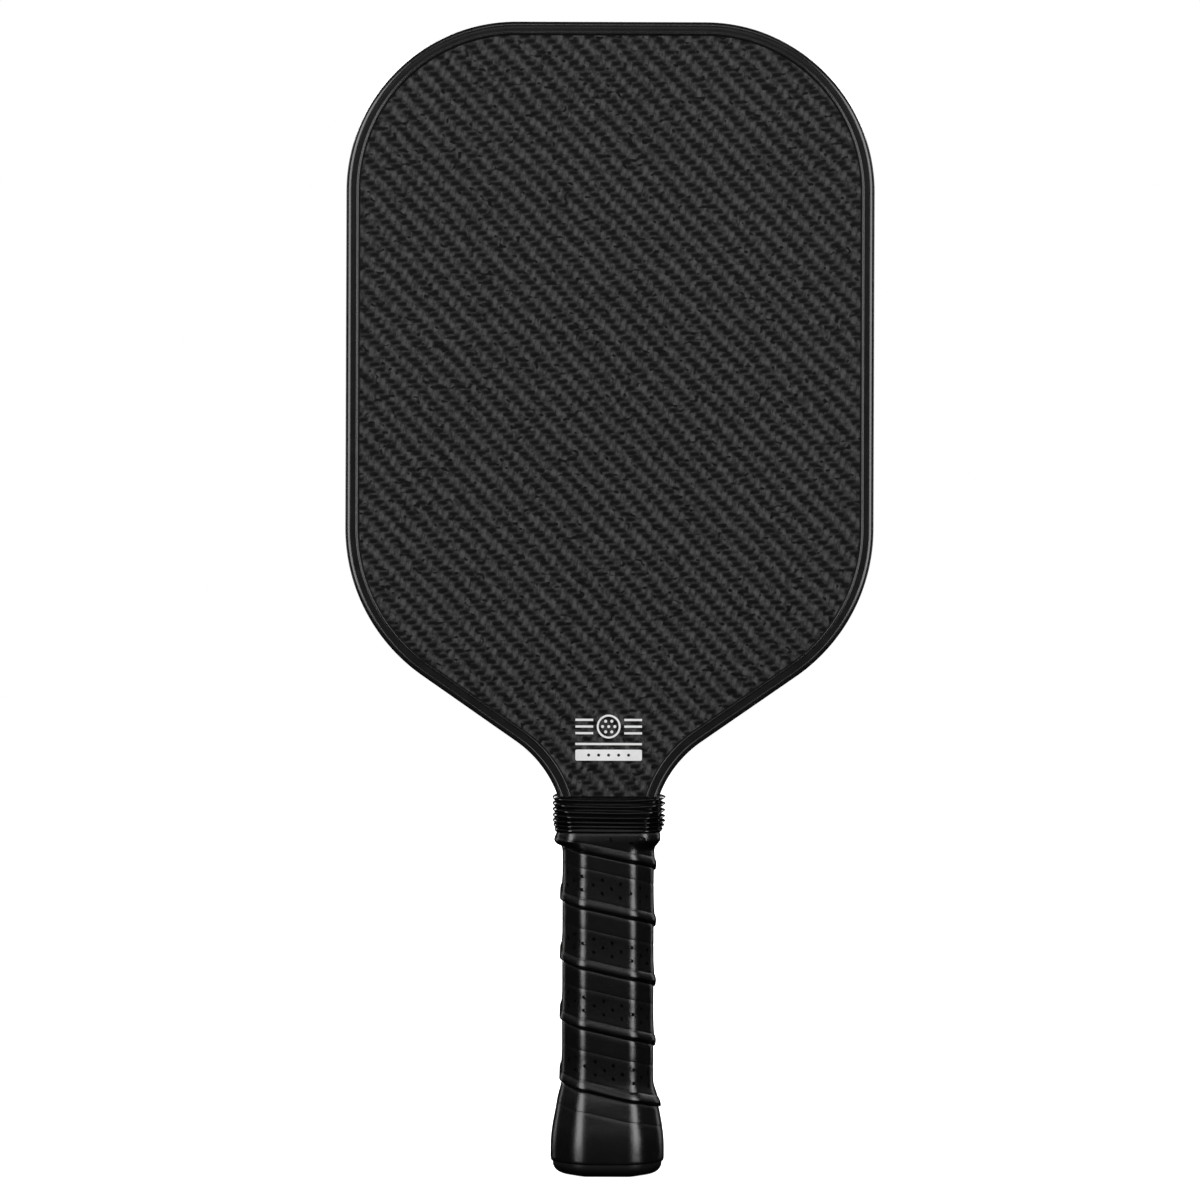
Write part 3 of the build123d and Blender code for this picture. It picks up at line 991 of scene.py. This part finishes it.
def dress_frame(frame):
    """Give every CAD node its material, the hidden ones too."""
    twill = twill_material()
    guard = guard_material()
    leather = leather_material()
    rubber = rubber_material()
    cup = plain_material("butt_cup_plastic", 0.002, 0.0036, 0.42)
    fleece = plain_material("core_fleece_white", (0.6, 0.6, 0.57), (0.72, 0.72, 0.69), 0.9, 900.0)
    foam = plain_material("handle_foam_black", 0.012, 0.02, 0.8, 700.0)
    bond = plain_material("bond_tape_clear", (0.3, 0.29, 0.26), (0.36, 0.35, 0.31), 0.35)
    steel = plain_material("staple_steel_wire", 0.5, 0.6, 0.28, 500.0, 1.0)
    tape = plain_material("finishing_tape_black", 0.006, 0.01, 0.3)
    ink = plain_material("face_mark_ink", 0.72, 0.8, 0.5)
    core = honeycomb_material()
    materials = {
        "front_face_skin": twill,
        "back_face_skin": twill,
        "edge_guard": guard,
        "grip_collar": rubber,
        "cushion_grip": leather,
        "butt_cap": cup,
        "face_mark": ink,
        "honeycomb_core": core,
        "front_core_veil": fleece,
        "back_core_veil": fleece,
        "edge_guard_tape": bond,
        "front_handle_shell": foam,
        "back_handle_shell": foam,
        "butt_cap_staples": steel,
        "grip_finishing_tape": tape,
    }
    for node, material in materials.items():
        dress(frame, node, material)
    return guard, leather, rubber, cup


# ------------------------------------------------------------- studio
def soft_light(name, place, width, height, power):
    """Add a rectangular area light that faces the middle of the paddle."""
    lamp = bpy.data.lights.new(name, "AREA")
    lamp.shape = "RECTANGLE"
    lamp.size = width
    lamp.size_y = height
    lamp.energy = power
    holder = bpy.data.objects.new(name, lamp)
    holder.location = place
    facing = Vector(LIGHT_TARGET) - Vector(place)
    holder.rotation_euler = facing.to_track_quat("-Z", "Y").to_euler()
    bpy.context.scene.collection.objects.link(holder)


def build_floor():
    """Lay a pale floor under the butt that doesn't throw light back on the paddle."""
    mesh = bpy.data.meshes.new("studio_floor")
    signs = ((-1, -1), (1, -1), (1, 1), (-1, 1))
    corners = [(x * FLOOR_REACH, y * FLOOR_REACH, 0) for x, y in signs]
    mesh.from_pydata(corners, [], [(0, 1, 2, 3)])
    floor = bpy.data.objects.new("studio_floor", mesh)
    floor.visible_diffuse = False
    floor.visible_glossy = False
    bpy.context.scene.collection.objects.link(floor)
    material, _, shader = new_material("studio_floor_white", roughness=0.9, specular=0.1)
    shader.inputs["Base Color"].default_value = (0.9, 0.9, 0.9, 1)
    shader.inputs["Emission Color"].default_value = (1, 1, 1, 1)
    shader.inputs["Emission Strength"].default_value = 1.0
    mesh.materials.append(material)


def build_studio():
    """White surroundings, soft light on both faces and both sides, and tall bars for the edges."""
    world = bpy.data.worlds.new("studio_white")
    world.use_nodes = True
    background = world.node_tree.nodes["Background"]
    background.inputs["Color"].default_value = (1, 1, 1, 1)
    background.inputs["Strength"].default_value = 1.0
    world.cycles_visibility.diffuse = False
    world.cycles_visibility.glossy = False
    bpy.context.scene.world = world
    bpy.context.scene.view_settings.view_transform = "Standard"
    for light in LIGHTS:
        soft_light(*light)


def build_camera():
    """Look square on at the face from the height of the paddle's middle."""
    lens = bpy.data.cameras.new("product_camera")
    lens.lens = CAMERA_LENS
    lens.sensor_width = 36.0
    lens.clip_start = 0.05
    lens.clip_end = 50.0
    camera = bpy.data.objects.new("product_camera", lens)
    camera.location = CAMERA_PLACE
    camera.rotation_euler = (pi / 2, CAMERA_ROLL, 0)
    bpy.context.scene.collection.objects.link(camera)
    bpy.context.scene.camera = camera


# ------------------------------------------------------------- scene
guard_look, leather_look, rubber_look, cup_look = dress_frame(frame)
build_edge_guard().data.materials.append(guard_look)
build_grip().data.materials.append(leather_look)
build_collar().data.materials.append(rubber_look)
build_cup().data.materials.append(cup_look)
build_floor()
build_studio()
build_camera()
